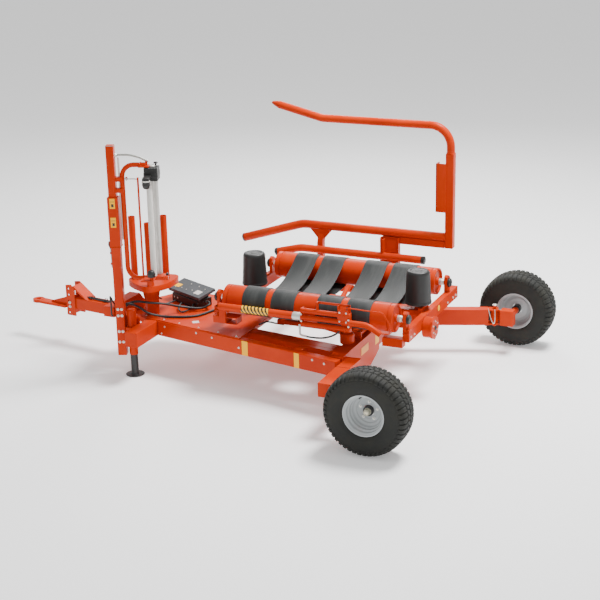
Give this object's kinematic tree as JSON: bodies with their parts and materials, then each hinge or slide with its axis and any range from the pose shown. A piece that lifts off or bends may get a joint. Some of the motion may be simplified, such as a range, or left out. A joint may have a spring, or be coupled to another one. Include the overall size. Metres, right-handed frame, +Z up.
{
  "type": "trailed turntable round bale wrapper",
  "caption": "Trailed round-bale wrapper with a tipping turntable of belts on rollers, a side loading fork, a film mast, a jack stand and a swing-out wheel.",
  "frame": {"origin": "on the ground, under the middle of the machine's box", "axes": "+X forward to the hitch, +Y to the left, where the fixed wheel is, +Z up"},
  "size_m": [4.8529, 3.091, 2.1926],
  "materials": {
    "orange_paint": "glossy orange enamel on welded steel, scuffed at its edges",
    "silver_paint": "satin silver wheel paint",
    "black_steel": "black painted steel",
    "bright_steel": "polished piston rod",
    "aluminium": "ribbed extruded aluminium",
    "tyre_rubber": "dusty implement tyre rubber",
    "belt_rubber": "smooth dark grey conveyor belting",
    "hose_rubber": "black hydraulic hose",
    "black_plastic": "moulded black plastic",
    "grey_plastic": "dark grey moulded cover"
  },
  "bodies": {
    "chassis": {"side_beam": "orange_paint", "drawbar": "orange_paint", "front_cross_arm": "orange_paint", "rear_cross_member": "orange_paint", "near_axle": "orange_paint", "far_side_frame": "orange_paint", "rear_outrigger": "orange_paint", "front_outrigger": "orange_paint", "arm_clevis": "orange_paint", "deck_plate": "orange_paint", "jack_tube": "orange_paint", "mast": "orange_paint", "mast_bracket": "orange_paint", "reel_stand": "orange_paint", "valve_block": "black_plastic", "valve_cover": "grey_plastic", "upper_hose": "hose_rubber", "lower_hose": "hose_rubber", "hitch_bracket": "orange_paint", "hitch_tongue": "orange_paint"},
    "near_wheel": {"near_tyre": "tyre_rubber", "near_rim": "silver_paint"},
    "far_arm": {"swing_arm": "orange_paint"},
    "far_knuckle": {"wheel_knuckle": "orange_paint"},
    "far_wheel": {"far_tyre": "tyre_rubber", "far_rim": "silver_paint"},
    "tip_frame": {"tip_frame": "orange_paint"},
    "tip_barrel": {"tip_cylinder_barrel": "orange_paint"},
    "tip_rod": {"tip_cylinder_rod": "bright_steel"},
    "turntable": {"table_frame": "orange_paint", "table_front_bar": "orange_paint", "table_rear_bar": "orange_paint", "drive_housing": "orange_paint", "near_roller": "orange_paint", "far_roller": "orange_paint", "belt_1": "belt_rubber", "belt_2": "belt_rubber", "belt_3": "belt_rubber", "belt_4": "belt_rubber", "film_cutter": "orange_paint"},
    "front_cone": {"front_cone": "black_plastic"},
    "rear_cone": {"rear_cone": "black_plastic"},
    "loader": {"loader_arms": "orange_paint", "loader_guard_tube": "orange_paint", "fork_lower_tine": "orange_paint", "fork_upper_tine": "orange_paint"},
    "lift_barrel": {"lift_cylinder_barrel": "orange_paint"},
    "lift_rod": {"lift_cylinder_rod": "bright_steel"},
    "jack": {"jack_leg": "black_steel"},
    "film_mast": {"film_mast_tube": "orange_paint", "film_bow": "orange_paint", "reel_bracket": "orange_paint", "film_gearbox": "black_plastic"},
    "film_roller_1": {"film_roller_1": "aluminium"},
    "film_roller_2": {"film_roller_2": "aluminium"},
    "upper_reel_cone": {"upper_reel_cone": "black_plastic"},
    "lower_reel_cone": {"lower_reel_cone": "black_plastic"}
  },
  "joints": [
    {"name": "near_wheel_spin", "type": "hinge", "parent": "chassis", "child": "near_wheel", "pos_m": [-1.6635, 1.4135, 0.355], "axis": [0, 1, 0], "continuous": true},
    {"name": "far_arm_swing", "type": "hinge", "parent": "chassis", "child": "far_arm", "pos_m": [-1.16, -0.8455, 0.345], "axis": [0, 0, 1], "range_deg": [-28, 0]},
    {"name": "far_knuckle_turn", "type": "hinge", "parent": "far_arm", "child": "far_knuckle", "pos_m": [-1.92807, -1.13267, 0.345], "axis": [0, 0, 1], "range_deg": [0, 28]},
    {"name": "far_wheel_spin", "type": "hinge", "parent": "far_knuckle", "child": "far_wheel", "pos_m": [-2.0715, -1.4135, 0.355], "axis": [0, 1, 0], "continuous": true},
    {"name": "table_tip", "type": "hinge", "parent": "chassis", "child": "tip_frame", "pos_m": [-1.095, -0.11, 0.515], "axis": [0, -1, 0], "range_deg": [0, 32]},
    {"name": "table_spin", "type": "hinge", "parent": "tip_frame", "child": "turntable", "pos_m": [-0.7435, -0.11, 0.574], "axis": [0, 0, 1], "continuous": true},
    {"name": "front_cone_spin", "type": "hinge", "parent": "turntable", "child": "front_cone", "pos_m": [0.0465, -0.11, 0.75], "axis": [0, 0, 1], "continuous": true},
    {"name": "rear_cone_spin", "type": "hinge", "parent": "turntable", "child": "rear_cone", "pos_m": [-1.5335, -0.11, 0.75], "axis": [0, 0, 1], "continuous": true},
    {"name": "tip_barrel_turn", "type": "hinge", "parent": "chassis", "child": "tip_barrel", "pos_m": [-0.985, -0.11, 0.36], "axis": [0, -1, 0], "range_deg": [0, 33.39]},
    {"name": "tip_rod_slide", "type": "slide", "parent": "tip_barrel", "child": "tip_rod", "axis": [0.9866, 0, 0.1631], "range_m": [0, 0.1035]},
    {"name": "loader_lift", "type": "hinge", "parent": "chassis", "child": "loader", "pos_m": [-0.5, -1.2065, 0.42], "axis": [1, 0, 0], "range_deg": [0, 93]},
    {"name": "lift_barrel_turn", "type": "hinge", "parent": "chassis", "child": "lift_barrel", "pos_m": [-0.5, -0.75, 0.4], "axis": [1, 0, 0], "range_deg": [0, 14.21]},
    {"name": "lift_rod_slide", "type": "slide", "parent": "lift_barrel", "child": "lift_rod", "axis": [0, -0.9382, 0.3462], "range_m": [0, 0.1592]},
    {"name": "jack_slide", "type": "slide", "parent": "chassis", "child": "jack", "axis": [0, 0, 1], "range_m": [0, 0.17]},
    {"name": "film_mast_slide", "type": "slide", "parent": "chassis", "child": "film_mast", "axis": [0, 0, 1], "range_m": [0, 0.25]},
    {"name": "film_roller_1_spin", "type": "hinge", "parent": "film_mast", "child": "film_roller_1", "pos_m": [0.70255, 0.57284, 1.4], "axis": [0, 0, 1], "continuous": true},
    {"name": "film_roller_2_spin", "type": "hinge", "parent": "film_mast", "child": "film_roller_2", "pos_m": [0.68719, 0.49808, 1.4], "axis": [0, 0, 1], "continuous": true},
    {"name": "upper_reel_spin", "type": "hinge", "parent": "film_mast", "child": "upper_reel_cone", "pos_m": [0.65903, 0.69534, 1.8], "axis": [0, 0, 1], "continuous": true},
    {"name": "lower_reel_spin", "type": "hinge", "parent": "film_mast", "child": "lower_reel_cone", "pos_m": [0.65903, 0.69534, 1], "axis": [0, 0, 1], "continuous": true}
  ],
  "couplings": [
    {"joint": "far_knuckle_turn", "follows": "far_arm_swing", "ratio": -1},
    {"joint": "tip_barrel_turn", "follows": "table_tip", "ratio": 1.0434},
    {"joint": "tip_rod_slide", "follows": "table_tip", "m_per_rad": 0.1853},
    {"joint": "lift_barrel_turn", "follows": "loader_lift", "ratio": 0.1527},
    {"joint": "lift_rod_slide", "follows": "loader_lift", "m_per_rad": 0.098},
    {"joint": "film_roller_2_spin", "follows": "film_roller_1_spin", "ratio": -1.5}
  ]
}
